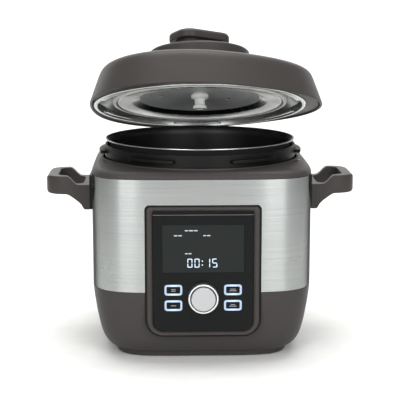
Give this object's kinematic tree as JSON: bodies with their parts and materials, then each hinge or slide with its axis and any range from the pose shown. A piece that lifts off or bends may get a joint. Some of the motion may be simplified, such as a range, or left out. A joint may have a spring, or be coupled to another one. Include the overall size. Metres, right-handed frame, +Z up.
{
  "type": "electric pressure cooker",
  "caption": "Countertop electric pressure cooker with a steel-banded square body, lift-out pot, dial and display panel, side handles and a bayonet lid held open.",
  "frame": {"origin": "on the worktop under the axis of the inner pot", "axes": "+Z up, -Y towards the control panel, +X to the right of someone facing the panel"},
  "size_m": [0.377, 0.297, 0.384],
  "materials": {
    "steel_brushed": "vertical brushed grain, satin",
    "charcoal_plastic": "fine moulded texture, warm charcoal grey",
    "black_plastic": "moulded, satin black",
    "rubber_black": "matt",
    "screw_steel": "zinc plated",
    "black_enamel": "semi-gloss black coating",
    "bare_steel": "fine brushed",
    "cast_aluminium": "turned casting",
    "nonstick": "black non-stick coating, bare bright rim",
    "polished_steel": "polished",
    "dial_metal": "spun satin",
    "gloss_black": "polished black",
    "display_dark": "smoked window",
    "lit_white": "lit from behind",
    "circuit_green": "solder resist",
    "lead_sleeve": "silicone sleeve",
    "cup_clear": "translucent, smoky",
    "silicone_white": "translucent white silicone",
    "silicone_clear": "milky silicone",
    "silicone_red": "matt",
    "plunger_white": "matt"
  },
  "bodies": {
    "root": {"steel_band": "steel_brushed", "base_shell": "charcoal_plastic", "bottom_plate": "black_plastic", "feet": "rubber_black", "base_screws": "screw_steel", "top_cover": "charcoal_plastic", "bayonet_ring": "black_enamel", "ring_screws": "screw_steel", "inner_liner": "bare_steel", "heating_plate": "cast_aluminium", "heating_element": "bare_steel", "sensor_bracket": "bare_steel", "sensor_spring": "bare_steel", "right_handle": "charcoal_plastic", "left_handle": "charcoal_plastic", "handle_pads": "black_plastic", "handle_screws": "screw_steel", "bezel": "charcoal_plastic", "front_panel": "gloss_black", "display_lens": "display_dark", "display_digits": "lit_white", "lcd_module": "black_plastic", "light_guides": "lit_white", "button_switches": "black_plastic", "encoder_body": "bare_steel", "control_board": "circuit_green", "board_screws": "screw_steel", "power_board": "circuit_green", "power_parts": "black_plastic", "power_inlet": "black_plastic", "mains_leads": "lead_sleeve", "cup_bracket": "black_plastic"},
    "sensor": {"temperature_sensor": "cast_aluminium"},
    "button_ul": {"button_upper_left": "black_plastic"},
    "button_ur": {"button_upper_right": "black_plastic"},
    "button_ll": {"button_lower_left": "black_plastic"},
    "button_lr": {"button_lower_right": "black_plastic"},
    "dial_push": {"encoder_plunger": "plunger_white"},
    "dial": {"encoder_shaft": "bare_steel", "dial_ring": "dial_metal", "dial_cap": "dial_metal"},
    "cup": {"condensation_cup": "cup_clear"},
    "pot": {"inner_pot": "nonstick"},
    "seal": {"sealing_ring": "silicone_clear"},
    "lid": {"lid_shell": "charcoal_plastic", "lid_lower_cover": "charcoal_plastic", "lid_trim_ring": "polished_steel", "lid_cap": "charcoal_plastic", "lid_knob": "charcoal_plastic", "knob_screws": "screw_steel", "lid_pan": "bare_steel", "inner_plate": "polished_steel", "plate_grommet": "silicone_white", "seal_rack": "bare_steel", "anti_block_cap": "bare_steel", "valve_seat": "bare_steel", "float_guide": "bare_steel"},
    "steam_weight": {"steam_valve": "black_plastic"},
    "float": {"float_pin": "bare_steel", "float_gasket": "silicone_red"}
  },
  "joints": [
    {"name": "pot_lift", "type": "slide", "parent": "root", "child": "pot", "axis": [0, 0, 1], "range_m": [0, 0.18]},
    {"name": "lid_tip", "type": "hinge", "parent": "pot", "child": "seal", "pos_m": [0, 0.198, 0.232], "axis": [-1, 0, 0], "range_deg": [-17, 50]},
    {"name": "lid_twist", "type": "hinge", "parent": "seal", "child": "lid", "pos_m": [0, 0.00719, 0.28511], "axis": [0, 0.2924, 0.9563], "range_deg": [-30, 0]},
    {"name": "steam_valve_lift", "type": "slide", "parent": "lid", "child": "steam_weight", "axis": [0, 0.2924, 0.9563], "range_m": [0, 0.003]},
    {"name": "float_valve_rise", "type": "slide", "parent": "lid", "child": "float", "axis": [0, 0.2924, 0.9563], "range_m": [0, 0.0045]},
    {"name": "sensor_press", "type": "slide", "parent": "root", "child": "sensor", "axis": [0, 0, 1], "range_m": [-0.0025, 0], "stiffness_N_per_m": 500, "springref_m": 0.002, "deforming": ["sensor_spring"]},
    {"name": "button_upper_left_press", "type": "slide", "parent": "root", "child": "button_ul", "axis": [0, 1, 0], "range_m": [0, 0.0008], "stiffness_N_per_m": 600, "springref_m": -0.0008},
    {"name": "button_upper_right_press", "type": "slide", "parent": "root", "child": "button_ur", "axis": [0, 1, 0], "range_m": [0, 0.0008], "stiffness_N_per_m": 600, "springref_m": -0.0008},
    {"name": "button_lower_left_press", "type": "slide", "parent": "root", "child": "button_ll", "axis": [0, 1, 0], "range_m": [0, 0.0008], "stiffness_N_per_m": 600, "springref_m": -0.0008},
    {"name": "button_lower_right_press", "type": "slide", "parent": "root", "child": "button_lr", "axis": [0, 1, 0], "range_m": [0, 0.0008], "stiffness_N_per_m": 600, "springref_m": -0.0008},
    {"name": "dial_press", "type": "slide", "parent": "root", "child": "dial_push", "axis": [0, 1, 0], "range_m": [0, 0.0006], "stiffness_N_per_m": 1500, "springref_m": -0.001},
    {"name": "dial_turn", "type": "hinge", "parent": "dial_push", "child": "dial", "pos_m": [0, -0.1335, 0.0804], "axis": [0, -1, 0], "continuous": true},
    {"name": "collector_slide", "type": "slide", "parent": "root", "child": "cup", "axis": [0, 0, 1], "range_m": [0, 0.045]}
  ]
}
